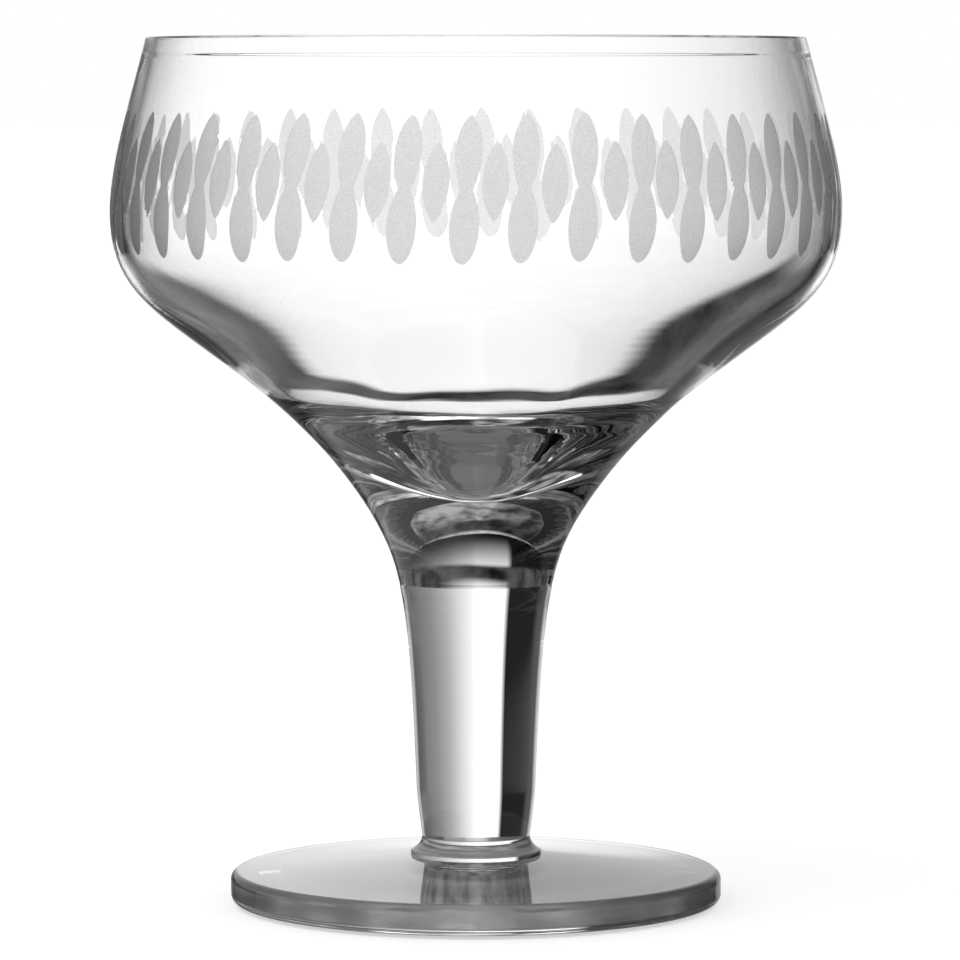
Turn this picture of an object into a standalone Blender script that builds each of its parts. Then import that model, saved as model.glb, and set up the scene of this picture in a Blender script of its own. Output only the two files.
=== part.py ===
"""Margarita glass: a blown bowl fused to a solid stem, a collar and a round foot.

Every piece is turned about the Z axis. Lengths are in metres, and the foot rests on z = 0.
Each outline is drawn in its piece's own frame, with the piece's lowest face at height 0.
"""

import math

import bmesh
import bpy
from mathutils import Vector
from mathutils.geometry import interpolate_bezier

# Foot: a disc with a rounded edge, a gently sloping top and a shallow hollow underneath
FOOT_RADIUS = 0.0342
FOOT_EDGE_HEIGHT = 0.0043
FOOT_EDGE_ROUND = 0.0012
FOOT_RISE = 0.0020
FOOT_REST_WIDTH = 0.0060
FOOT_HOLLOW_DEPTH = 0.0008

# Collar: the small flared button between foot and stem
COLLAR_RADIUS = 0.0091
COLLAR_HEIGHT = 0.0023
COLLAR_EDGE_ROUND = 0.0003
COLLAR_TOP_LEAN = math.radians(12)
COLLAR_SKIRT_LEAN = math.radians(65)

# Stem: a solid rod that widens upwards and draws in at its ankle
STEM_END_RADIUS = 0.0075
STEM_END_LEAN = math.radians(8)
STEM_ANKLE_RADIUS = 0.0083
STEM_ANKLE_HEIGHT = 0.0067
STEM_ANKLE_LEAN = math.radians(2.25)
STEM_SHANK_LENGTH = 0.0284

# Seam where the bowl is fused to the stem
SEAM_RADIUS = 0.0107
SEAM_LEAN = math.radians(11.4)

# Bowl, from the seam upwards: flare, cone, shoulder, belly and wall
FLARE_HEIGHT = 0.0259
CONE_RADIUS = 0.0292
CONE_LEAN = math.radians(51.3)
SHOULDER_HEIGHT = 0.0255
BELLY_RADIUS = 0.0506
WALL_HEIGHT = 0.0240
RIM_RADIUS = 0.0457
RIM_LEAN = math.radians(13.5)

# Glass thickness
RIM_WALL = 0.0015
BELLY_WALL = 0.0017
CONE_WALL = 0.0022
BASE_THICKNESS = 0.0150

# Well: the rounded bottom of the bowl's inside
WELL_RADIUS = 0.0110
WELL_RISE = 0.0046
WELL_LEAN = math.radians(64)

# Clearance kept at each fused face
JOINT_GAP = 0.0003

# Handle lengths of the outline's curves, as shares of the distance between a curve's two ends
WALL_FULLNESS = (0.29, 0.29)
SHOULDER_FULLNESS = (0.365, 0.535)
FLARE_FULLNESS = (0.20, 0.35)
WELL_FULLNESS = (0.33, 0.33)
SHANK_FULLNESS = (0.24, 0.50)
ANKLE_FULLNESS = (0.20, 0.20)
COLLAR_FULLNESS = (0.35, 0.45)

# Facets
TURN_FACETS = 64
WALL_STEPS = 5
SHOULDER_STEPS = 8
FLARE_STEPS = 8
WELL_STEPS = 5
LIP_STEPS = 4
SHANK_STEPS = 7
ANKLE_STEPS = 4
COLLAR_STEPS = 4
EDGE_STEPS = 4
HOLLOW_STEPS = 4
SMOOTH_ANGLE = math.radians(35)
MERGE_DISTANCE = 0.000001

# Clear soda-lime glass
GLASS_COLOUR = (0.95, 0.96, 0.96, 1.0)
GLASS_ROUGHNESS = 0.02
GLASS_INDEX = 1.5


def downward(lean):
    """Return the unit direction down an outline that leans outwards by this angle."""
    return Vector((math.sin(lean), -math.cos(lean)))


def curve(start, start_lean, end, end_lean, fullness, steps):
    """Return the points of a smooth outline from start to end, without the start itself."""
    span = (end - start).length
    start_handle = start + downward(start_lean) * span * fullness[0]
    end_handle = end - downward(end_lean) * span * fullness[1]
    points = interpolate_bezier(start, start_handle, end_handle, end, steps + 1)
    return [point.to_2d() for point in points[1:]]


def arc(centre, radius, start_angle, end_angle, steps):
    """Return the points of a round stretch of outline, with both of its ends."""
    points = []
    for step in range(steps + 1):
        angle = start_angle + (end_angle - start_angle) * step / steps
        points.append(centre + Vector((math.cos(angle), math.sin(angle))) * radius)
    return points


def inset(points, leans, walls):
    """Return an outer wall's points moved inwards by a wall that changes evenly from end to end.

    The outline leans by leans[0] at its first point and by leans[1] at its last.
    """
    last = len(points) - 1
    along = [(after - before).normalized() for before, after in zip(points, points[2:])]
    along = [downward(leans[0])] + along + [downward(leans[1])]
    moved = []
    for index, point in enumerate(points):
        outward = Vector((-along[index].y, along[index].x))
        wall = walls[0] + (walls[1] - walls[0]) * index / last
        moved.append(point - outward * wall)
    return moved


def foot_outline():
    """Return the foot's outline, from the middle of its top round the edge to its hollow."""
    edge_round = min(FOOT_EDGE_ROUND, FOOT_EDGE_HEIGHT / 2)
    seat_height = FOOT_EDGE_HEIGHT + FOOT_RISE
    edge_centre = FOOT_RADIUS - edge_round
    outline = [Vector((0, seat_height)), Vector((COLLAR_RADIUS, seat_height))]
    upper = Vector((edge_centre, FOOT_EDGE_HEIGHT - edge_round))
    lower = Vector((edge_centre, edge_round))
    outline += arc(upper, edge_round, math.pi / 2, 0, EDGE_STEPS)
    outline += arc(lower, edge_round, 0, -math.pi / 2, EDGE_STEPS)
    rest_inner = edge_centre - FOOT_REST_WIDTH
    for step in range(HOLLOW_STEPS + 1):
        share = 1 - step / HOLLOW_STEPS
        outline.append(Vector((rest_inner * share, FOOT_HOLLOW_DEPTH * (1 - share ** 2))))
    return outline


def collar_outline():
    """Return the collar's outline, from the middle of its top over its skirt to its base."""
    edge_round = min(COLLAR_EDGE_ROUND, COLLAR_HEIGHT / 4)
    top = Vector((STEM_END_RADIUS, COLLAR_HEIGHT))
    edge_centre = Vector((COLLAR_RADIUS - edge_round, edge_round))
    edge = arc(edge_centre, edge_round, COLLAR_SKIRT_LEAN, -math.pi / 2, EDGE_STEPS)
    outline = [Vector((0, COLLAR_HEIGHT)), top]
    outline += curve(top, COLLAR_TOP_LEAN, edge[0], COLLAR_SKIRT_LEAN, COLLAR_FULLNESS, COLLAR_STEPS)
    outline += edge[1:]
    outline.append(Vector((0, 0)))
    return outline


def stem_outline():
    """Return the stem's outline, from the middle of its fused top down to its end."""
    top = Vector((SEAM_RADIUS, STEM_ANKLE_HEIGHT + STEM_SHANK_LENGTH))
    ankle = Vector((STEM_ANKLE_RADIUS, STEM_ANKLE_HEIGHT))
    end = Vector((STEM_END_RADIUS, 0))
    outline = [Vector((0, top.y)), top]
    outline += curve(top, -SEAM_LEAN, ankle, -STEM_ANKLE_LEAN, SHANK_FULLNESS, SHANK_STEPS)
    outline += curve(ankle, -STEM_ANKLE_LEAN, end, -STEM_END_LEAN, ANKLE_FULLNESS, ANKLE_STEPS)
    outline.append(Vector((0, 0)))
    return outline


def bowl_outline():
    """Return the bowl's outline, from the bottom of its well over the lip to its fused face."""
    seam = Vector((SEAM_RADIUS, 0))
    cone = Vector((CONE_RADIUS, FLARE_HEIGHT))
    belly = Vector((BELLY_RADIUS, cone.y + SHOULDER_HEIGHT))
    lip_round = RIM_WALL / 2
    lip_height = belly.y + WALL_HEIGHT - lip_round
    rim = Vector((RIM_RADIUS, lip_height + lip_round * math.sin(RIM_LEAN)))

    wall = [rim] + curve(rim, RIM_LEAN, belly, 0, WALL_FULLNESS, WALL_STEPS)
    shoulder = [belly] + curve(belly, 0, cone, -CONE_LEAN, SHOULDER_FULLNESS, SHOULDER_STEPS)
    flare = curve(cone, -CONE_LEAN, seam, -SEAM_LEAN, FLARE_FULLNESS, FLARE_STEPS)

    inner_wall = inset(wall, (RIM_LEAN, 0), (RIM_WALL, BELLY_WALL))
    inner_shoulder = inset(shoulder, (0, -CONE_LEAN), (BELLY_WALL, CONE_WALL))
    inner_cone = inner_shoulder[-1]
    well_side = Vector((WELL_RADIUS, BASE_THICKNESS + WELL_RISE))
    well = Vector((0, BASE_THICKNESS))
    inner_well = curve(inner_cone, -CONE_LEAN, well_side, -WELL_LEAN, WELL_FULLNESS, WELL_STEPS)
    inner_well += curve(well_side, -WELL_LEAN, well, -math.pi / 2, WELL_FULLNESS, WELL_STEPS)

    lip_centre = (rim + inner_wall[0]) / 2
    lip = arc(lip_centre, lip_round, RIM_LEAN + math.pi, RIM_LEAN, LIP_STEPS)
    inside = inner_wall[1:] + inner_shoulder[1:] + inner_well
    outside = wall[1:] + shoulder[1:] + flare
    return inside[::-1] + lip + outside + [Vector((0, 0))]


def glass_material(name):
    """Return a clear glass material."""
    material = bpy.data.materials.new(name)
    material.use_nodes = True
    shader = material.node_tree.nodes["Principled BSDF"]
    shader.inputs["Base Color"].default_value = GLASS_COLOUR
    shader.inputs["Roughness"].default_value = GLASS_ROUGHNESS
    shader.inputs["Metallic"].default_value = 0.0
    shader.inputs["IOR"].default_value = GLASS_INDEX
    shader.inputs["Transmission Weight"].default_value = 1.0
    return material


def turned_piece(name, outline, height, parent):
    """Turn an outline about the Z axis into one closed piece, and stand it at this height."""
    shape = bmesh.new()
    corners = [shape.verts.new((point.x, 0, point.y)) for point in outline]
    edges = [shape.edges.new(pair) for pair in zip(corners, corners[1:])]
    bmesh.ops.spin(
        shape,
        geom=corners + edges,
        cent=(0, 0, 0),
        axis=(0, 0, 1),
        angle=2 * math.pi,
        steps=TURN_FACETS,
        use_merge=True,
    )
    bmesh.ops.remove_doubles(shape, verts=shape.verts, dist=MERGE_DISTANCE)
    bmesh.ops.recalc_face_normals(shape, faces=shape.faces)
    mesh = bpy.data.meshes.new(name)
    shape.to_mesh(mesh)
    shape.free()
    mesh.shade_smooth()
    mesh.set_sharp_from_angle(angle=SMOOTH_ANGLE)
    mesh.materials.append(glass_material(name + "_glass"))
    piece = bpy.data.objects.new(name, mesh)
    piece.location.z = height
    piece.parent = parent
    bpy.context.collection.objects.link(piece)
    return piece


def main():
    """Clear the scene, then stack foot, collar, stem and bowl with their joint gaps."""
    for existing in list(bpy.data.objects):
        bpy.data.objects.remove(existing, do_unlink=True)
    glass = bpy.data.objects.new("margarita_glass", None)
    bpy.context.collection.objects.link(glass)

    collar_base = FOOT_EDGE_HEIGHT + FOOT_RISE + JOINT_GAP
    stem_end = collar_base + COLLAR_HEIGHT + JOINT_GAP
    seam_height = stem_end + STEM_ANKLE_HEIGHT + STEM_SHANK_LENGTH + JOINT_GAP
    turned_piece("foot", foot_outline(), 0, glass)
    turned_piece("collar", collar_outline(), collar_base, glass)
    turned_piece("stem", stem_outline(), stem_end, glass)
    turned_piece("bowl", bowl_outline(), seam_height, glass)


main()
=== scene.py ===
"""Looks of the margarita glass: clear fused glass, a band of etched ovals and a pale studio.

Each CAD node is replaced by a finely turned piece of the same size. The pieces meet at their
fused faces, where the glass has no optical boundary. Lengths are in metres, angles in radians.
"""

import logging
import math
import random
from dataclasses import dataclass, field
from enum import Enum

import bpy
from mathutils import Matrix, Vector, noise


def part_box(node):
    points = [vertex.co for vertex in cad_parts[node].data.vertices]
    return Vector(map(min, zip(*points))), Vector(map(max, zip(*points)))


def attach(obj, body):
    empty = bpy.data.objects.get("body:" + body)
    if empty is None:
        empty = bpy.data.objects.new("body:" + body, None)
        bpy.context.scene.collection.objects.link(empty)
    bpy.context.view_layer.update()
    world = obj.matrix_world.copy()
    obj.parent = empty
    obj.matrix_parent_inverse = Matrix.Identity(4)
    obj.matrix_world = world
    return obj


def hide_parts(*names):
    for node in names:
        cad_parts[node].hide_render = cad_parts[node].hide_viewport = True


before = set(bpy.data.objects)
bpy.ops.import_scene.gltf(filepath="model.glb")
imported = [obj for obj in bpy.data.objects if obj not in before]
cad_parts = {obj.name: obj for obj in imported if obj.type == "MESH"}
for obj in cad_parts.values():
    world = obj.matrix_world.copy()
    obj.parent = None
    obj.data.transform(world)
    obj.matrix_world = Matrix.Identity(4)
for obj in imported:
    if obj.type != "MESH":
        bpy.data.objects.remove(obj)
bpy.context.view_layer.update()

BODY = "root"
LOG = logging.getLogger("margarita_glass")

# Fineness of the turned meshes
TURN_STEPS = 240
CURVE_STEPS = 20
MERGE_DISTANCE = 0.000001
SHARP_ANGLE = math.radians(40)

# The foot's ground hollow is known by its height and by how far its faces look down
HOLLOW_HEIGHT = 0.001
LOOKS_DOWN = -0.9

# Noise: its detail, and the range that it mostly fills
NOISE_DETAIL = 2.0
NOISE_RANGE = (0.3, 0.7)

# Soft patches of the surroundings, about 1 on average
PATCH_SCALE = 7.0
PATCH_DARKEST = 0.2
PATCH_LIGHTEST = 1.8

# Slight notch round the seam where the bowl is fused to the stem
SEAM_LEAN = math.radians(11.4)
NOTCH_DEPTH = 0.00004
NOTCH_HEIGHT = 0.0006

DOWN = -math.pi / 2
EVEN = (0.33, 0.33)
WHITE = (1.0, 1.0, 1.0, 1.0)

# Places and the levels at them, in rising order of place
Levels = tuple[tuple[float, float], ...]


class Slot(Enum):
    """Material slots of a glass mesh."""

    CLEAR = 0
    FUSED = 1
    ETCHED = 2
    GROUND = 3


class Signal:
    """A shader socket that can be used in Python expressions."""

    def __init__(self, graph: "Graph", socket: bpy.types.NodeSocket) -> None:
        """Keep the socket and the graph that it belongs to."""
        self.graph = graph
        self.socket = socket

    def output(self, name: str) -> "Signal":
        """Return another output of the same node."""
        return Signal(self.graph, self.socket.node.outputs[name])

    def math(self, operation: str, *others: "Signal | float") -> "Signal":
        """Add a Math node that takes this signal first.

        Args:
            operation: The Math node's operation.
            others: The node's other values.

        Returns:
            The node's result.
        """
        values = dict(enumerate((self, *others)))
        return self.graph.node("ShaderNodeMath", {"operation": operation}, values)

    def step(self, low: float, high: float) -> "Signal":
        """Return a smooth step of this signal, from 0 at low to 1 at high."""
        return self.graph.node("ShaderNodeMapRange", {"interpolation_type": "SMOOTHSTEP"}, {
            "Value": self,
            "From Min": low,
            "From Max": high,
        })

    def ramp(self, stops: Levels) -> "Signal":
        """Return the level that a list of places and levels gives at this signal.

        Args:
            stops: Places and levels, in rising order of place.

        Returns:
            The level, which runs straight from stop to stop.
        """
        first = stops[0][0]
        span = stops[-1][0] - first
        peak = max(level for _, level in stops)
        shares = [((place - first) / span, level / peak) for place, level in stops]
        share = (self - first) * (1 / span)
        colour = self.graph.node("ShaderNodeValToRGB", {"stops": shares}, {"Fac": share})
        return self.graph.node("ShaderNodeRGBToBW", {}, {"Color": colour}) * peak

    def towards(self, other: "Signal | float", share: "Signal") -> "Signal":
        """Return a blend from this signal, at a share of 0, to another, at a share of 1."""
        return self * (1.0 - share) + share * other

    def __add__(self, other: "Signal | float") -> "Signal":
        """Return this signal plus another."""
        return self.math("ADD", other)

    __radd__ = __add__

    def __sub__(self, other: "Signal | float") -> "Signal":
        """Return this signal less another."""
        return self.math("SUBTRACT", other)

    def __rsub__(self, other: float) -> "Signal":
        """Return a number less this signal."""
        return self * -1.0 + other

    def __mul__(self, other: "Signal | float") -> "Signal":
        """Return this signal times another."""
        return self.math("MULTIPLY", other)

    __rmul__ = __mul__


class Graph:
    """A node tree that is built by calls."""

    def __init__(self, owner: bpy.types.Material | bpy.types.World) -> None:
        """Empty the owner's node tree."""
        owner.use_nodes = True
        self.tree = owner.node_tree
        self.tree.nodes.clear()

    def node(self, kind: str, settings: dict, inputs: dict, output: int | str = 0) -> Signal | None:
        """Add a node, set it up and link it.

        Args:
            kind: The node's type.
            settings: Its own properties; a ramp's grey stops are given as "stops".
            inputs: Values or signals for its sockets, by name or number.
            output: The output that is returned.

        Returns:
            The chosen output, or None for an end node.
        """
        made = self.tree.nodes.new(kind)
        for name, value in settings.items():
            if name == "stops":
                self._set_stops(made.color_ramp, value)
            else:
                setattr(made, name, value)
        for name, value in inputs.items():
            if isinstance(value, Signal):
                self.tree.links.new(value.socket, made.inputs[name])
            else:
                made.inputs[name].default_value = value
        return Signal(self, made.outputs[output]) if made.outputs else None

    def noise(self, place: Signal, scale: float) -> Signal:
        """Return soft noise over places, finer the larger the scale."""
        inputs = {"Vector": place, "Scale": scale, "Detail": NOISE_DETAIL}
        return self.node("ShaderNodeTexNoise", {}, inputs)

    @staticmethod
    def _set_stops(ramp: bpy.types.ColorRamp, stops: list[tuple[float, float]]) -> None:
        """Give a colour ramp grey stops of place and brightness."""
        while len(ramp.elements) < len(stops):
            ramp.elements.new(1.0)
        for element, (place, level) in zip(ramp.elements, stops):
            element.position = place
            element.color = (level, level, level, 1.0)


def only(piece: bpy.types.Object) -> None:
    """Select one object alone and make it active."""
    bpy.ops.object.select_all(action="DESELECT")
    piece.select_set(True)
    bpy.context.view_layer.objects.active = piece


def apply_modifiers(piece: bpy.types.Object) -> None:
    """Apply all of a piece's modifiers in order."""
    only(piece)
    for modifier in list(piece.modifiers):
        bpy.ops.object.modifier_apply(modifier=modifier.name)


def heading(angle: float) -> Vector:
    """Return the unit vector of a heading in the half plane of radius and height."""
    return Vector((math.cos(angle), 0.0, math.sin(angle)))


def smooth(value: float, low: float, high: float) -> float:
    """Return a smooth step of a number, from 0 at low to 1 at high."""
    share = min(1.0, max(0.0, (value - low) / (high - low)))
    return share * share * (3.0 - 2.0 * share)


class Finish:
    """A material that is made from one shader."""

    def shader(self, graph: Graph) -> Signal:
        """Add the finish's nodes to a material's graph, and return their shader."""
        raise NotImplementedError

    def make(self, name: str) -> bpy.types.Material:
        """Make the material of this name."""
        material = bpy.data.materials.new(name)
        graph = Graph(material)
        graph.node("ShaderNodeOutputMaterial", {}, {"Surface": self.shader(graph)})
        return material


@dataclass(frozen=True)
class ClearGlass(Finish):
    """Clear fire-polished glass."""

    colour: tuple[float, float, float, float] = (0.985, 0.99, 0.988, 1.0)
    index: float = 1.5
    roughness: float = 0.0

    def shader(self, graph: Graph) -> Signal:
        """Add the clear glass's nodes, and return their shader."""
        return graph.node("ShaderNodeBsdfPrincipled", {}, {
            "Base Color": self.colour,
            "Roughness": self.roughness,
            "IOR": self.index,
            "Transmission Weight": 1.0,
        })


@dataclass(frozen=True)
class MattGlass(Finish):
    """Glass with a matt surface of fine grain, etched or ground."""

    index: float = 1.5
    smoothest: float = 0.36
    roughest: float = 0.58
    darkest: float = 0.58
    lightest: float = 0.82
    grain_scale: float = 4500.0
    grain_height: float = 0.00002

    def shader(self, graph: Graph) -> Signal:
        """Add the matt glass's nodes, and return their shader."""
        place = graph.node("ShaderNodeTexCoord", {}, {}, "Object")
        grain = graph.noise(place, self.grain_scale)
        normal = graph.node("ShaderNodeBump", {}, {
            "Strength": 1.0,
            "Distance": 1.0,
            "Height": grain * self.grain_height,
        })
        return graph.node("ShaderNodeBsdfPrincipled", {}, {
            "Base Color": grain.step(*NOISE_RANGE) * (self.lightest - self.darkest) + self.darkest,
            "Roughness": grain * (self.roughest - self.smoothest) + self.smoothest,
            "IOR": self.index,
            "Transmission Weight": 1.0,
            "Normal": normal,
        })


@dataclass(frozen=True)
class FusedFace(Finish):
    """The face where two gathers of glass are melted together, with no boundary to see."""

    def shader(self, graph: Graph) -> Signal:
        """Add the clear node, and return its shader."""
        return graph.node("ShaderNodeBsdfTransparent", {}, {"Color": WHITE})


@dataclass(frozen=True)
class Matt(Finish):
    """A plain matt stage surface, with a glow that only the camera sees."""

    colour: tuple[float, float, float, float]
    glow: float = 0.0

    def shader(self, graph: Graph) -> Signal:
        """Add the matt surface's nodes, and return their shader."""
        matt = graph.node("ShaderNodeBsdfDiffuse", {}, {"Color": self.colour})
        seen = graph.node("ShaderNodeLightPath", {}, {}, "Is Camera Ray")
        glow = graph.node("ShaderNodeEmission", {}, {"Color": seen * self.glow, "Strength": 1.0})
        return graph.node("ShaderNodeAddShader", {}, {0: matt, 1: glow})


@dataclass(frozen=True)
class Glow(Finish):
    """A stage surface whose level goes by the distance from the axis, whatever light falls on it: painted
    shade, as on the pad under the foot.
    """

    levels: Levels

    def shader(self, graph: Graph) -> Signal:
        """Add the glowing surface's nodes, and return their shader."""
        place = graph.node("ShaderNodeTexCoord", {}, {}, "Object")
        radius = graph.node("ShaderNodeVectorMath", {"operation": "LENGTH"}, {0: place}, "Value")
        # The level by radius is painted shade of the floor under the foot
        return graph.node("ShaderNodeEmission", {}, {"Color": radius.ramp(self.levels), "Strength": 1.0})


@dataclass(frozen=True)
class Card(Finish):
    """A mottled dark card with soft edges, seen only straight through the glass, without bounces.

    Its top edge is hollow: it rises by the square of the distance from its middle.
    """

    level: float = 0.12
    patch_scale: float = 90.0
    width: float = 0.120
    distance: float = 0.055
    bottom: float = 0.0525
    top: float = 0.0640
    hollow: float = 6.6
    middle: float = -0.004
    softness: float = 0.0035
    end_softness: float = 0.012
    columns: int = 24

    def shader(self, graph: Graph) -> Signal:
        """Add the card's nodes, and return their shader."""
        place = graph.node("ShaderNodeTexCoord", {}, {}, "Object")
        patches = graph.noise(place, self.patch_scale)
        across = graph.node("ShaderNodeSeparateXYZ", {}, {"Vector": place}, "X")
        height = across.output("Z")
        aside = across - self.middle
        lowered = height - aside * aside * self.hollow
        end = self.width / 2
        shown = lowered.step(self.top, self.top - self.softness)
        shown = shown * height.step(self.bottom, self.bottom + self.softness)
        shown = shown * across.math("ABSOLUTE").step(end, end - self.end_softness)
        bounces = graph.node("ShaderNodeLightPath", {}, {}, "Glossy Depth")
        shown = shown * (1.0 - bounces.math("MINIMUM", 1.0))
        level = patches.step(*NOISE_RANGE) * self.level
        card = graph.node("ShaderNodeEmission", {}, {"Color": level, "Strength": 1.0})
        clear = graph.node("ShaderNodeBsdfTransparent", {}, {"Color": WHITE})
        return graph.node("ShaderNodeMixShader", {}, {0: shown, 1: clear, 2: card})

    def model(self) -> bpy.types.Object:
        """Model the card behind the bowl's base.

        Returns:
            The card, without its finish.
        """
        bpy.ops.mesh.primitive_grid_add(x_subdivisions=self.columns, y_subdivisions=1, size=1.0)
        card = bpy.context.object
        for vertex in card.data.vertices:
            across = vertex.co.x * self.width
            top = self.top + self.hollow * (across - self.middle) ** 2
            vertex.co = (across, self.distance, top if vertex.co.y > 0 else self.bottom)
        return card


@dataclass
class Knot:
    """A point of an outline with its two handles."""

    place: Vector
    before: Vector
    after: Vector


@dataclass
class Outline:
    """A half profile that is drawn as a Bezier curve and turned about the Z axis."""

    knots: list[Knot] = field(default_factory=list)

    def start(self, radius: float, height: float) -> "Outline":
        """Put the first point of the outline, and return the outline."""
        place = Vector((radius, 0.0, height))
        self.knots.append(Knot(place, place.copy(), place.copy()))
        return self

    def curve(self, end: Vector, leave: float, arrive: float,
              fullness: tuple[float, float] = EVEN) -> "Outline":
        """Run a curve on to the next point.

        Args:
            end: The next point's radius and height.
            leave: The heading at the last point.
            arrive: The heading at the next point.
            fullness: The two handles, as shares of the straight distance.

        Returns:
            The outline itself.
        """
        last = self.knots[-1]
        place = Vector((end[0], 0.0, end[1]))
        span = (place - last.place).length
        last.after = last.place + heading(leave) * span * fullness[0]
        before = place - heading(arrive) * span * fullness[1]
        self.knots.append(Knot(place, before, place.copy()))
        return self

    def line(self, end: Vector) -> "Outline":
        """Run straight on to the next point, and return the outline."""
        toward = Vector((end[0], 0.0, end[1])) - self.knots[-1].place
        angle = math.atan2(toward.z, toward.x)
        return self.curve(end, angle, angle)

    def arc(self, end: Vector, leave: float, arrive: float) -> "Outline":
        """Run a round stretch on to the next point, and return the outline."""
        turn = abs(arrive - leave)
        share = 4 / 3 * math.tan(turn / 4) / (2 * math.sin(turn / 2))
        return self.curve(end, leave, arrive, (share, share))

    def turned(self, name: str) -> bpy.types.Object:
        """Draw the outline, spin it about the axis and close its fused ends.

        Args:
            name: The piece's name.

        Returns:
            The turned piece.
        """
        bpy.ops.object.select_all(action="DESELECT")
        bpy.ops.curve.primitive_bezier_curve_add(location=(0.0, 0.0, 0.0))
        line = bpy.context.object.data
        line.dimensions = "3D"
        line.resolution_u = CURVE_STEPS
        points = line.splines[0].bezier_points
        points.add(len(self.knots) - len(points))
        for point, knot in zip(points, self.knots):
            point.handle_left_type = "FREE"
            point.handle_right_type = "FREE"
            point.co = knot.place
            point.handle_left = knot.before
            point.handle_right = knot.after
        bpy.ops.object.convert(target="MESH")
        piece = bpy.context.object
        bpy.ops.object.mode_set(mode="EDIT")
        bpy.ops.mesh.select_all(action="SELECT")
        bpy.ops.mesh.spin(
            steps=TURN_STEPS,
            angle=2 * math.pi,
            center=(0.0, 0.0, 0.0),
            axis=(0.0, 0.0, 1.0),
        )
        bpy.ops.mesh.select_all(action="SELECT")
        bpy.ops.mesh.remove_doubles(threshold=MERGE_DISTANCE)
        bpy.ops.mesh.select_all(action="SELECT")
        bpy.ops.mesh.fill_holes(sides=0)
        bpy.ops.mesh.select_all(action="SELECT")
        bpy.ops.mesh.normals_make_consistent(inside=False)
        bpy.ops.object.mode_set(mode="OBJECT")
        bpy.ops.object.shade_smooth_by_angle(angle=SHARP_ANGLE)
        piece.name = name
        piece.data.name = name
        return piece


@dataclass(frozen=True)
class Joints:
    """Heights of the fused faces, half way across the CAD model's joint gaps."""

    foot_top: float
    collar_top: float
    stem_top: float

    @classmethod
    def from_frame(cls) -> "Joints":
        """Read the heights from the CAD nodes."""
        boxes = [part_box(node) for node in ("foot", "collar", "stem", "bowl")]
        return cls(*[(low[1].z + high[0].z) / 2 for low, high in zip(boxes, boxes[1:])])


@dataclass(frozen=True)
class HandWork:
    """The gentle unevenness of hand-made glass: waves, rings inside the bowl and cords in its base."""

    joints: Joints
    wave_scale: float = 45.0
    wave_height: float = 0.00002
    wall_share: float = 0.15
    foot_share: float = 2.5
    foot_top: float = 0.0064
    ring_length: float = 0.0026
    ring_sway: float = 3.0
    well_ring: float = 0.000025
    cone_ring: float = 0.000020
    inside_floor: float = 0.0567
    inside_slope: float = 0.527
    cord_scale: float = 70.0
    cord_curl: float = 0.6
    cord_height: float = 0.00012
    cord_fade: float = 0.005
    base_bottom: float = 0.0450
    base_top: float = 0.0740
    wall_fade: float = 0.015
    joint_fade: float = 0.0008
    # Radii, and heights above the table, where a share goes from 0 to 1
    well_ring_edge: tuple[float, float] = (0.008, 0.005)
    cone_ring_start: tuple[float, float] = (0.009, 0.014)
    cone_ring_end: tuple[float, float] = (0.027, 0.022)
    underside: tuple[float, float] = (0.001, 0.002)
    seed: int = 7

    def height(self, place: Vector) -> float:
        """Return how far the surface is to stand out at a place."""
        radius = math.hypot(place.x, place.y)
        wave = noise.noise(place * self.wave_scale)
        below_wall = smooth(place.z, self.base_top + self.wall_fade, self.base_top)
        height = wave * self.wave_height * (self.wall_share + (1.0 - self.wall_share) * below_wall)
        if place.z < self.foot_top:
            height *= self.foot_share
        if self.base_bottom < place.z < self.base_top:
            curl = noise.noise_vector(place * self.cord_scale) * self.cord_curl
            ends = smooth(place.z, self.base_bottom, self.base_bottom + self.cord_fade)
            ends *= smooth(place.z, self.base_top, self.base_top - self.cord_fade)
            height += noise.noise(place * self.cord_scale + curl) * self.cord_height * ends
        if place.z - radius * self.inside_slope > self.inside_floor:
            ring = math.sin(2 * math.pi * radius / self.ring_length + wave * self.ring_sway)
            on_cone = smooth(radius, *self.cone_ring_start) * smooth(radius, *self.cone_ring_end)
            height += ring * self.well_ring * smooth(radius, *self.well_ring_edge)
            height += ring * self.cone_ring * on_cone
        return height

    def work(self, piece: bpy.types.Object) -> None:
        """Move a piece's points along their normals, but not at its fused faces and its underside."""
        noise.seed_set(self.seed)
        joints = (self.joints.foot_top, self.joints.collar_top, self.joints.stem_top)
        normals =[vertex.normal.copy() for vertex in piece.data.vertices]
        for vertex, normal in zip(piece.data.vertices, normals):
            place = vertex.co
            clearance = min(abs(place.z - joint) for joint in joints)
            share = smooth(clearance, 0.0, self.joint_fade) * smooth(place.z, *self.underside)
            vertex.co = place + normal * self.height(place) * share
        piece.data.update()


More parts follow.
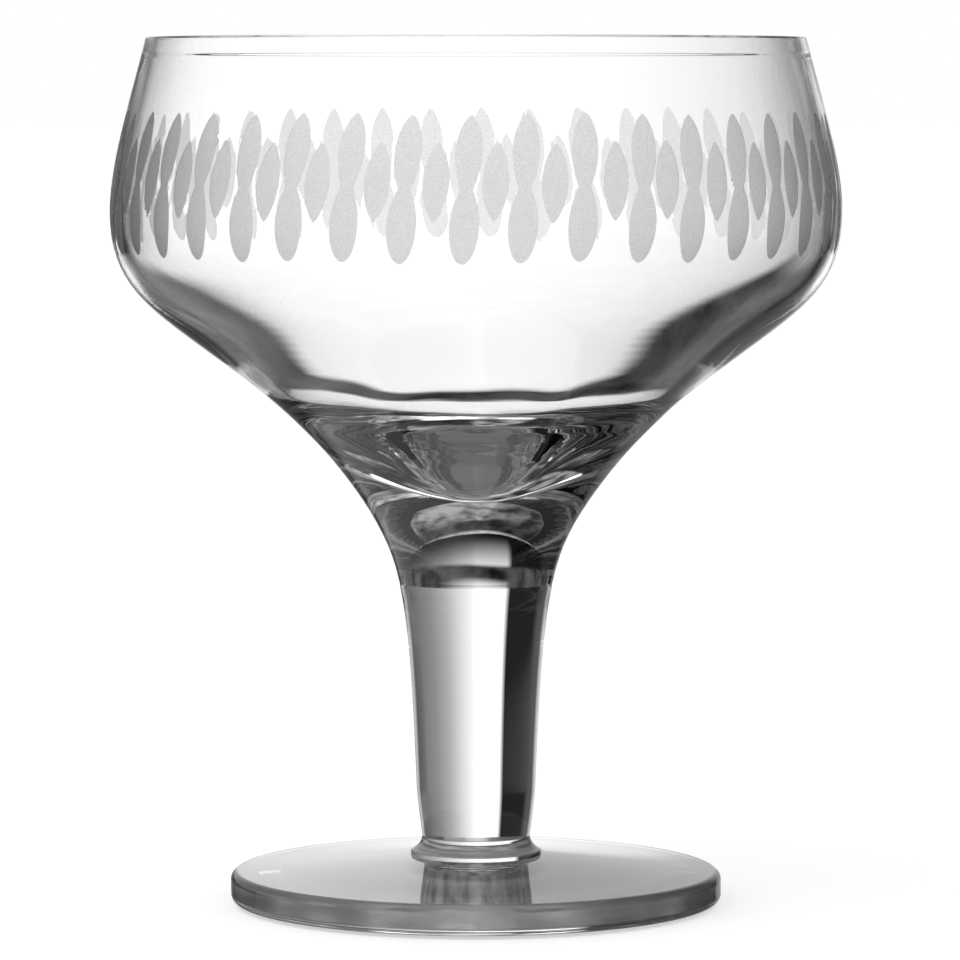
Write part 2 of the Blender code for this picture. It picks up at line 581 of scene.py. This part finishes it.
@dataclass
class Finishes:
    """The materials that the glass pieces share."""

    clear: bpy.types.Material
    fused: bpy.types.Material
    etched: bpy.types.Material
    ground: bpy.types.Material

    @classmethod
    def make(cls) -> "Finishes":
        """Make the four materials."""
        ground = MattGlass(smoothest=0.12, roughest=0.28, darkest=0.85, lightest=1.0, grain_scale=1500.0)
        return cls(
            ClearGlass().make("clear_glass"),
            FusedFace().make("fused_face"),
            MattGlass().make("etched_glass"),
            ground.make("ground_glass"),
        )

    def dress(self, piece: bpy.types.Object) -> None:
        """Give a turned piece its material slots, by the kind of each face."""
        piece.data.materials.clear()
        for material in (self.clear, self.fused, self.etched, self.ground):
            piece.data.materials.append(material)
        for face in piece.data.polygons:
            face.material_index = self.slot_of(face).value

    @staticmethod
    def slot_of(face: bpy.types.MeshPolygon) -> Slot:
        """Return a face's slot: end faces are fused, and the hollow under the foot is ground."""
        if len(face.vertices) == TURN_STEPS:
            return Slot.FUSED
        if face.normal.z < LOOKS_DOWN and 0.0 < face.center.z < HOLLOW_HEIGHT:
            return Slot.GROUND
        return Slot.CLEAR


def place_on_frame(piece: bpy.types.Object, node: str) -> None:
    """Let a piece stand for a CAD node and ride on the glass's body."""
    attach(piece, BODY)
    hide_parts(node)
    LOG.info("%s: %d faces", piece.name, len(piece.data.polygons))


@dataclass
class Bowl:
    """The blown bowl, from its fused face up to the lip and down into its well."""

    joints: Joints
    flare_height: float = 0.0259
    cone_radius: float = 0.0292
    cone_lean: float = math.radians(51.3)
    shoulder_height: float = 0.0255
    rim_radius: float = 0.0457
    rim_lean: float = math.radians(13.5)
    rim_wall: float = 0.0015
    belly_wall: float = 0.0017
    cone_wall: float = 0.0022
    base_thickness: float = 0.0150
    well_radius: float = 0.0110
    well_rise: float = 0.0046
    well_slope: float = math.radians(26)
    lip_round: float = 0.0003
    bead_swell: float = 0.00006
    bead_length: float = 0.00135
    bead_blend: float = 0.0013
    bead_lean: float = math.radians(12)
    wall_fullness: tuple[float, float] = (0.29, 0.29)
    shoulder_fullness: tuple[float, float] = (0.365, 0.535)
    flare_fullness: tuple[float, float] = (0.20, 0.35)

    def model(self) -> bpy.types.Object:
        """Draw and turn the bowl."""
        low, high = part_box("bowl")
        seam = Vector((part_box("stem")[1].x, self.joints.stem_top))
        cone = Vector((self.cone_radius, low.z + self.flare_height))
        belly = Vector((high.x, cone.y + self.shoulder_height))
        cone_out = Vector((math.cos(self.cone_lean), -math.sin(self.cone_lean)))
        inner_belly = belly - Vector((self.belly_wall, 0.0))
        inner_cone = cone - cone_out * self.cone_wall
        bottom = low.z + self.base_thickness
        well = Vector((self.well_radius, bottom + self.well_rise))
        up_cone = math.pi / 2 - self.cone_lean
        outline = Outline().start(0.0, bottom)
        outline.curve(well, 0.0, self.well_slope)
        outline.curve(inner_cone, self.well_slope, up_cone)
        outline.curve(inner_belly, up_cone, math.pi / 2, self.shoulder_fullness[::-1])
        self.draw_lip(outline, high.z)
        outline.curve(belly, DOWN + self.rim_lean, DOWN, self.wall_fullness)
        outline.curve(cone, DOWN, DOWN - self.cone_lean, self.shoulder_fullness)
        above_seam = seam + Vector((math.tan(SEAM_LEAN), 1.0)) * NOTCH_HEIGHT
        outline.curve(above_seam, DOWN - self.cone_lean, DOWN - SEAM_LEAN, self.flare_fullness)
        outline.line(seam - Vector((NOTCH_DEPTH, 0.0)))
        return outline.turned("glass_bowl")

    def draw_lip(self, outline: Outline, height: float) -> None:
        """Run the outline up the inner wall and over the lip, with its slight bead inside.

        Args:
            outline: The bowl's outline, which ends at the inside of the belly.
            height: The rim's height.
        """
        across = Vector((math.cos(self.rim_lean), math.sin(self.rim_lean)))
        up = Vector((-across.y, across.x))
        half = self.rim_wall / 2
        corner = half - self.lip_round
        bead = half + self.bead_swell
        middle = Vector((self.rim_radius, height - half + half * across.y)) - across * half
        top = (corner - across.y * corner) / across.x + self.lip_round
        bead_end = middle - up * self.bead_length
        wall_end = bead_end - up * self.bead_blend
        side = middle + up * (top - self.lip_round)
        crest = middle + up * top
        up_wall = math.pi / 2 + self.rim_lean
        up_bead = math.pi / 2 + self.bead_lean
        outline.curve(wall_end - across * half, math.pi / 2, up_bead, self.wall_fullness)
        outline.curve(bead_end - across * bead, up_bead, up_wall)
        outline.line(side - across * bead)
        outline.arc(crest - across * (bead - self.lip_round), up_wall, up_wall - math.pi / 2)
        outline.line(crest + across * corner)
        outline.arc(side + across * half, up_wall - math.pi / 2, up_wall - math.pi)


@dataclass(frozen=True)
class Lobe:
    """One pointed oval of the etched band."""

    top: float
    middle: float
    bottom: float
    width: float
    upper_power: float = 0.8
    lower_power: float = 0.8

    def half_width(self, height: float) -> float:
        """Return half the oval's width at a height."""
        above = height > self.middle
        end = self.top if above else self.bottom
        share = (height - self.middle) / (end - self.middle)
        power = self.upper_power if above else self.lower_power
        return self.width / 2 * max(0.0, 1.0 - share ** 2) ** power


class Motif(Enum):
    """The two shapes that take turns round the etched band."""

    WAISTED = (
        Lobe(top=0.1097, middle=0.1049, bottom=0.0981, width=0.00355, upper_power=0.7, lower_power=1.1),
        Lobe(top=0.1021, middle=0.0954, bottom=0.0904, width=0.00394, upper_power=1.3, lower_power=0.5),
    )
    SINGLE = (Lobe(top=0.1061, middle=0.10095, bottom=0.09576, width=0.00349),)


@dataclass
class EtchedBand:
    """The band of pointed ovals that is etched into the bowl's outer wall."""

    count: int = 40
    first: float = math.radians(-1.45)
    turn_spread: float = math.radians(0.3)
    lean: float = math.radians(4)
    lean_spread: float = math.radians(0.8)
    height_spread: float = 0.00025
    depth: float = 0.00004
    proud: float = 0.0004
    standoff: float = 0.06
    columns: int = 4
    rows: int = 28
    seed: int = 7

    def leaf(self, motif: Motif, turn: float, wall: bpy.types.Object,
             draw: random.Random) -> bpy.types.Object:
        """Model one leaf on the wall, as a thin cutter.

        Args:
            motif: The leaf's shape.
            turn: Its place round the axis, from the front.
            wall: The bowl that it lies on.
            draw: The source of its small irregularities.

        Returns:
            The cutter.
        """
        lobes = motif.value
        top = max(lobe.top for lobe in lobes)
        bottom = min(lobe.bottom for lobe in lobes)
        slant = math.tan(self.lean + draw.uniform(-1, 1) * self.lean_spread)
        lift = draw.uniform(-1, 1) * self.height_spread
        bpy.ops.object.select_all(action="DESELECT")
        bpy.ops.mesh.primitive_grid_add(x_subdivisions=self.columns, y_subdivisions=self.rows, size=1.0)
        leaf = bpy.context.object
        for vertex in leaf.data.vertices:
            # The rows stand closer together towards the two tips
            along = 0.5 + 0.5 * math.sin(math.pi * vertex.co.y)
            height = bottom + (top - bottom) * along
            half = max(lobe.half_width(height) for lobe in lobes)
            across = 2 * vertex.co.x * half + slant * (height - (top + bottom) / 2)
            vertex.co = (across, -self.standoff, height + lift)
        bpy.ops.object.mode_set(mode="EDIT")
        bpy.ops.mesh.select_all(action="SELECT")
        bpy.ops.mesh.remove_doubles(threshold=MERGE_DISTANCE)
        bpy.ops.object.mode_set(mode="OBJECT")
        wrap = leaf.modifiers.new("wrap", "SHRINKWRAP")
        wrap.target = wall
        wrap.wrap_method = "PROJECT"
        wrap.use_project_y = True
        wrap.use_positive_direction = True
        wrap.use_negative_direction = False
        body = leaf.modifiers.new("body", "SOLIDIFY")
        body.thickness = self.depth + self.proud
        body.offset = 1.0 - 2.0 * self.depth / body.thickness
        apply_modifiers(leaf)
        leaf.rotation_euler.z = turn + draw.uniform(-1, 1) * self.turn_spread
        bpy.ops.object.transform_apply(location=False, rotation=True, scale=False)
        return leaf

    def etch(self, bowl: bpy.types.Object, finish: bpy.types.Material) -> None:
        """Cut the band into the bowl, with the etched finish on its floors."""
        draw = random.Random(self.seed)
        pitch = 2 * math.pi / self.count
        leaves = []
        for index in range(2 * self.count):
            motif = Motif.SINGLE if index % 2 else Motif.WAISTED
            leaves.append(self.leaf(motif, self.first + index * pitch / 2, bowl, draw))
        only(leaves[0])
        for leaf in leaves:
            leaf.select_set(True)
        bpy.ops.object.join()
        cutter = bpy.context.object
        cutter.data.materials.clear()
        cutter.data.materials.append(finish)
        cut = bowl.modifiers.new("etch", "BOOLEAN")
        cut.operation = "DIFFERENCE"
        cut.solver = "EXACT"
        cut.material_mode = "TRANSFER"
        cut.object = cutter
        apply_modifiers(bowl)
        bpy.data.objects.remove(cutter, do_unlink=True)
        only(bowl)
        bpy.ops.object.shade_smooth_by_angle(angle=SHARP_ANGLE)


@dataclass
class Stem:
    """The solid stem between the collar and the bowl."""

    joints: Joints
    end_radius: float = 0.0075
    end_lean: float = math.radians(8)
    ankle_radius: float = 0.0083
    ankle_height: float = 0.0067
    ankle_lean: float = math.radians(2.25)
    shank_fullness: tuple[float, float] = (0.24, 0.50)
    ankle_fullness: tuple[float, float] = (0.20, 0.20)

    def model(self) -> bpy.types.Object:
        """Draw and turn the stem."""
        low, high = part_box("stem")
        ankle = Vector((self.ankle_radius, low.z + self.ankle_height))
        end = Vector((self.end_radius, self.joints.collar_top))
        seam = Vector((high.x, self.joints.stem_top))
        outline = Outline().start(seam.x - NOTCH_DEPTH, seam.y)
        outline.line(seam - Vector((math.tan(SEAM_LEAN), 1.0)) * NOTCH_HEIGHT)
        outline.curve(ankle, DOWN - SEAM_LEAN, DOWN - self.ankle_lean, self.shank_fullness)
        outline.curve(end, DOWN - self.ankle_lean, DOWN - self.end_lean, self.ankle_fullness)
        return outline.turned("glass_stem")


@dataclass
class Collar:
    """The small flared button under the stem."""

    joints: Joints
    top_radius: float = 0.0075
    edge_round: float = 0.0003
    top_lean: float = math.radians(12)
    skirt_lean: float = math.radians(65)
    skirt_fullness: tuple[float, float] = (0.35, 0.45)

    def model(self) -> bpy.types.Object:
        """Draw and turn the collar."""
        low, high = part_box("collar")
        edge = Vector((high.x - self.edge_round, low.z + self.edge_round))
        skirt = edge + Vector((math.cos(self.skirt_lean), math.sin(self.skirt_lean))) * self.edge_round
        outline = Outline().start(self.top_radius, self.joints.collar_top)
        outline.curve(skirt, DOWN + self.top_lean, DOWN + self.skirt_lean, self.skirt_fullness)
        outline.arc(Vector((high.x, edge.y)), DOWN + self.skirt_lean, DOWN)
        outline.line(Vector((high.x, self.joints.foot_top)))
        return outline.turned("glass_collar")


@dataclass
class Foot:
    """The round foot that the glass stands on."""

    joints: Joints
    edge_height: float = 0.0043
    edge_round: float = 0.0012
    rest_width: float = 0.0060
    hollow_depth: float = 0.0008
    hollow_lean: float = 0.06
    edge_slope_share: float = 0.6

    def model(self) -> bpy.types.Object:
        """Draw and turn the foot."""
        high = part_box("foot")[1]
        middle = high.x - self.edge_round
        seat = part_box("collar")[1].x
        top = Vector((middle, self.edge_height))
        slope = math.atan2(top.y - self.joints.foot_top, top.x - seat)
        outline = Outline().start(seat, self.joints.foot_top)
        outline.curve(top, slope, slope * self.edge_slope_share)
        outline.arc(Vector((high.x, self.edge_height - self.edge_round)), 0.0, DOWN)
        outline.line(Vector((high.x, self.edge_round)))
        outline.arc(Vector((middle, 0.0)), DOWN, -math.pi)
        outline.line(Vector((middle - self.rest_width, 0.0)))
        outline.curve(Vector((0.0, self.hollow_depth)), math.pi - self.hollow_lean, math.pi)
        return outline.turned("glass_foot")


@dataclass
class Gaze:
    """The direction in which a ray leaves the scene."""

    x: Signal
    z: Signal
    turn: Signal
    mottle: Signal

    @classmethod
    def of(cls, graph: Graph) -> "Gaze":
        """Read the direction in a world's graph.

        Args:
            graph: The world's graph.

        Returns:
            The direction, with its turn in degrees from +Y towards +X, and with soft patches
            over the directions that are about 1 on average.
        """
        view = graph.node("ShaderNodeTexCoord", {}, {}, "Generated")
        x = graph.node("ShaderNodeSeparateXYZ", {}, {"Vector": view}, "X")
        patches = graph.noise(view, PATCH_SCALE).step(*NOISE_RANGE)
        mottle = patches * (PATCH_LIGHTEST - PATCH_DARKEST) + PATCH_DARKEST
        turn = x.math("ARCTAN2", x.output("Y")) * math.degrees(1.0)
        return cls(x, x.output("Z"), turn, mottle)


@dataclass(frozen=True)
class Band:
    """Levels by the turn, with the heights of a direction over which they replace those below."""

    rise: tuple[float, float]
    levels: Levels


@dataclass
class Studio:
    """The pale floor, the glowing pad of painted shade under the foot, the dark card, the surroundings and
    the lamp.

    Straight through, the bowl shows a pale panel above a dark table, and solid glass shows a
    panel with dark flags. What bounces inside solid glass shows a dim room with a bright window.
    Levels go by the turn from +Y towards +X in degrees, and heights are those of a unit direction.
    A pair of limits is where a share goes from 0 to 1.
    """

    floor_size: float = 30.0
    floor_drop: float = 0.0004
    floor_colour: tuple[float, float, float, float] = (0.7, 0.7, 0.7, 1.0)
    floor_glow: float = 0.46
    pad_radius: float = 0.0335
    pad_drop: float = 0.00003
    pad_corners: int = 96
    # Painted shade: the pad's glow by radius, darkest about 20 mm out, stands in for the shaded floor under
    # the foot
    pad_shade_levels: Levels = ((0.0, 0.18), (0.020, 0.15), (0.035, 0.21))
    lamp_place: tuple[float, float, float] = (-0.5, -0.4, 1.2)
    lamp_aim: tuple[float, float, float] = (0.0, 0.0, 0.05)
    lamp_size: float = 1.0
    lamp_energy: float = 3.0
    plain_level: float = 0.8
    scattered_level: float = 1.15
    bounce_loss: float = 0.45
    dimmest_bounce: float = 0.08
    bowl_crossings: tuple[float, float] = (2.4, 2.6)
    flag_heights: tuple[float, float] = (-0.25, -0.18)
    panel_top: tuple[float, float] = (0.65, 0.05)
    table_turns: tuple[float, float] = (38.0, 28.0)
    table_sides: tuple[float, float] = (0.06, 0.12)
    table_edge: tuple[float, float] = (-0.125, -0.18)
    table_end: tuple[float, float] = (-0.40, -0.32)
    table_level: float = 0.05
    wall_table_edge: tuple[float, float] = (-0.115, -0.17)
    wall_table_end: tuple[float, float] = (-0.48, -0.40)
    wall_table_level: float = 0.03
    room_floor: tuple[float, float] = (-0.7, -0.85)
    room_floor_level: float = 0.3
    panel: Levels = (
        (-180, 1.1), (-44, 1.1), (-36, 0.50), (-32, 0.15), (-24, 0.20), (-16, 1.15), (-8, 1.22), (1, 1.22),
        (4, 1.05), (8, 0.78), (13, 0.60), (20, 0.40), (30, 0.15), (36, 0.50), (44, 1.1), (180, 1.1),
    )
    flagged_panel: Levels = (
        (-180, 1.1), (-165, 1.1), (-161, 0.40), (-154, 0.40), (-150, 1.1), (-120, 1.1), (-116, 0.40),
        (-109, 0.40), (-105, 1.1), (-72, 1.1), (-60, 0.12), (-50, 0.10), (-42, 0.015), (-17.3, 0.015),
        (-16.3, 1.2), (0, 1.22), (1, 1.12), (2, 1.02), (6, 0.86), (10, 0.70), (14, 0.54), (18, 0.42),
        (28, 0.26), (44, 0.15), (60, 0.12), (72, 1.1), (107, 1.1), (111, 0.40), (118, 0.40), (122, 1.1),
        (180, 1.1),
    )
    room_below: Levels = (
        (-180, 0.25), (-95, 0.15), (-85, 0.03), (-19, 0.03), (-16, 0.26), (0, 0.25), (3, 0.03),
        (80, 0.06), (95, 0.20), (180, 0.25),
    )
    room_window: Band = Band((-0.24, -0.18), (
        (-180, 0.03), (-19, 0.03), (-17, 1.3), (16, 1.2), (18, 0.03), (180, 0.03),
    ))
    room_level: Band = Band((-0.12, -0.06), (
        (-180, 0.03), (-90, 0.08), (-20, 0.12), (-1, 0.16), (1, 1.0), (16, 1.0), (20, 0.35), (60, 0.25),
        (90, 0.03), (180, 0.03),
    ))
    room_above: Band = Band((0.09, 0.15), (
        (-180, 0.02), (-95, 0.02), (-60, 0.12), (-20, 0.15), (-15, 0.28), (15, 0.28), (25, 0.25),
        (80, 0.22), (100, 0.05), (180, 0.02),
    ))
    mirror_below: Levels = (
        (-180, 0.3), (-150, 0.62), (-30, 0.62), (-22, 0.05), (8, 0.30), (25, 0.20), (30, 0.03), (150, 0.03),
        (180, 0.3),
    )
    mirror_level: Band = Band((-0.24, -0.14), (
        (-180, 1.0), (-75, 1.0), (-62, 0.05), (-28, 0.05), (-20, 0.08), (-10, 0.30), (-6, 1.2), (5, 1.2),
        (9, 0.60), (25, 0.45), (28, 0.03), (62, 0.03), (75, 1.0), (180, 1.0),
    ))
    mirror_above: Band = Band((0.05, 0.12), (
        (-180, 0.5), (-25, 0.50), (-10, 0.70), (-4, 1.3), (-1.5, 1.3), (0.5, 0.85), (7, 0.75), (25, 0.30),
        (30, 0.12), (60, 0.12), (180, 0.5),
    ))

    def build(self) -> None:
        """Set up the whole studio."""
        self.floor()
        self.pad()
        self.card()
        self.surroundings()
        self.lamp()
        cycles = bpy.context.scene.cycles
        cycles.max_bounces = 24
        cycles.glossy_bounces = 12
        cycles.transmission_bounces = 24
        cycles.transparent_max_bounces = 16

    def floor(self) -> None:
        """Lay the pale floor, which carries the shadow."""
        bpy.ops.object.select_all(action="DESELECT")
        bpy.ops.mesh.primitive_plane_add(size=self.floor_size, location=(0.0, 0.0, -self.floor_drop))
        floor = bpy.context.object
        floor.name = "studio_floor"
        floor.data.materials.append(Matt(self.floor_colour, self.floor_glow).make("pale_floor"))
        floor.visible_transmission = False
        floor.visible_glossy = False

    def pad(self) -> None:
        """Lay the glowing pad that the foot hides: painted shade of the floor under the foot, a little
        darker part way out.
        """
        bpy.ops.mesh.primitive_circle_add(
            vertices=self.pad_corners,
            radius=self.pad_radius,
            fill_type="NGON",
            location=(0.0, 0.0, -self.pad_drop),
        )
        pad = bpy.context.object
        pad.name = "studio_pad"
        pad.data.materials.append(Glow(self.pad_shade_levels).make("painted_shade_pad"))
        pad.visible_camera = False

    def card(self) -> None:
        """Stand the dark card close behind the bowl's base."""
        finish = Card()
        card = finish.model()
        card.name = "studio_card"
        card.data.materials.append(finish.make("dark_card"))
        card.visible_camera = False
        card.visible_diffuse = False
        card.visible_glossy = False
        card.visible_shadow = False

    def seen_through(self, gaze: Gaze, in_bowl: Signal) -> Signal:
        """Return the level seen straight through the glass: a panel, with flags or a table.

        Args:
            gaze: The direction.
            in_bowl: 1 for a ray through the bowl's walls, 0 for one through solid glass.

        Returns:
            The level.
        """
        flagged = (1.0 - in_bowl) * gaze.z.step(*self.flag_heights)
        panel = gaze.turn.ramp(self.panel).towards(gaze.turn.ramp(self.flagged_panel), flagged)
        behind = gaze.turn.math("ABSOLUTE").step(*self.table_turns)
        aside = gaze.x.math("ABSOLUTE").step(*self.table_sides)
        below = gaze.z.step(*self.table_edge) * gaze.z.step(*self.table_end)
        level = panel.towards(self.table_level, aside * behind * below * in_bowl)
        return level * gaze.z.step(*self.panel_top)

    def seen_in_wall(self, gaze: Gaze, through: Signal, bounces: Signal) -> Signal:
        """Return the level seen after bounces in the bowl's wall: the panel, above a dark table.

        Args:
            gaze: The direction.
            through: The level seen straight through.
            bounces: How often the ray has bounced.

        Returns:
            The level.
        """
        below = gaze.z.step(*self.wall_table_edge) * gaze.z.step(*self.wall_table_end)
        behind = gaze.turn.math("ABSOLUTE").step(*self.table_turns)
        kept = (1.0 - bounces * self.bounce_loss).math("MAXIMUM", self.dimmest_bounce)
        return (through * kept).towards(self.wall_table_level, below * behind)

    def seen_inside(self, gaze: Gaze) -> Signal:
        """Return the level seen after bounces inside solid glass: a dim room with a bright window."""
        level = gaze.turn.ramp(self.room_below) + gaze.z.step(*self.room_floor) * self.room_floor_level
        for band in (self.room_window, self.room_level, self.room_above):
            level = level.towards(gaze.turn.ramp(band.levels), gaze.z.step(*band.rise))
        return level * gaze.mottle

    def mirrored(self, gaze: Gaze) -> Signal:
        """Return the level mirrored by the glass's outside: the backdrop and the dim room."""
        level = gaze.turn.ramp(self.mirror_below)
        for band in (self.mirror_level, self.mirror_above):
            level = level.towards(gaze.turn.ramp(band.levels), gaze.z.step(*band.rise))
        return level

    def surroundings(self) -> None:
        """Light the scene with a plain level, and show the glass the panel, table and room."""
        world = bpy.data.worlds.new("studio")
        bpy.context.scene.world = world
        graph = Graph(world)
        gaze = Gaze.of(graph)
        path = graph.node("ShaderNodeLightPath", {}, {}, "Is Camera Ray")
        bounces = path.output("Glossy Depth")
        # A ray crosses two surfaces of solid glass, and four of the bowl's walls
        in_bowl = path.output("Transmission Depth").step(*self.bowl_crossings)
        through = self.seen_through(gaze, in_bowl)
        in_wall = self.seen_in_wall(gaze, through, bounces)
        inside = self.seen_inside(gaze).towards(in_wall, in_bowl)
        bounced = bounces.math("MINIMUM", 1.0)
        passed = path.output("Is Transmission Ray")
        scattered = passed * (1.0 - path.output("Is Singular Ray")) * (1.0 - bounced)
        level = self.mirrored(gaze).towards(through.towards(inside, bounced), passed)
        level = level.towards(self.scattered_level, scattered)
        level = level.towards(self.plain_level, 1.0 - path.output("Is Glossy Ray"))
        level = level.towards(1.0, path)
        shader = graph.node("ShaderNodeBackground", {}, {"Color": level, "Strength": 1.0})
        graph.node("ShaderNodeOutputWorld", {}, {"Surface": shader})

    def lamp(self) -> None:
        """Hang one large soft lamp above, which only lights and isn't mirrored."""
        bpy.ops.object.light_add(type="AREA", location=self.lamp_place)
        lamp = bpy.context.object
        lamp.data.size = self.lamp_size
        lamp.data.energy = self.lamp_energy
        aim = Vector(self.lamp_aim) - Vector(self.lamp_place)
        lamp.rotation_euler = aim.to_track_quat("-Z", "Y").to_euler()
        lamp.visible_glossy = False
        lamp.visible_transmission = False


@dataclass
class Viewpoint:
    """The camera at the photograph's viewing angle."""

    place: tuple[float, float, float] = (0.00055, -0.750, 0.1135)
    pitch: float = math.radians(4.18)
    focal_pixels: float = 5415.0
    image_width: int = 960
    sensor_width: float = 36.0
    nearest: float = 0.01
    farthest: float = 100.0

    def build(self) -> None:
        """Put up the camera and make it the scene's own."""
        bpy.ops.object.camera_add(location=self.place, rotation=(math.pi / 2 - self.pitch, 0.0, 0.0))
        camera = bpy.context.object
        camera.data.sensor_fit = "HORIZONTAL"
        camera.data.sensor_width = self.sensor_width
        camera.data.lens = self.focal_pixels / self.image_width * self.sensor_width
        camera.data.clip_start = self.nearest
        camera.data.clip_end = self.farthest
        bpy.context.scene.camera = camera


def main() -> None:
    """Build the glass and its studio."""
    logging.basicConfig(level=logging.INFO)
    bpy.context.scene.view_settings.view_transform = "Standard"
    joints = Joints.from_frame()
    hand_work = HandWork(joints)
    finishes = Finishes.make()
    for node, part in (("bowl", Bowl), ("stem", Stem), ("collar", Collar), ("foot", Foot)):
        piece = part(joints).model()
        hand_work.work(piece)
        finishes.dress(piece)
        if node == "bowl":
            EtchedBand().etch(piece, finishes.etched)
        place_on_frame(piece, node)
    Studio().build()
    Viewpoint().build()


if __name__ == "__main__":
    main()
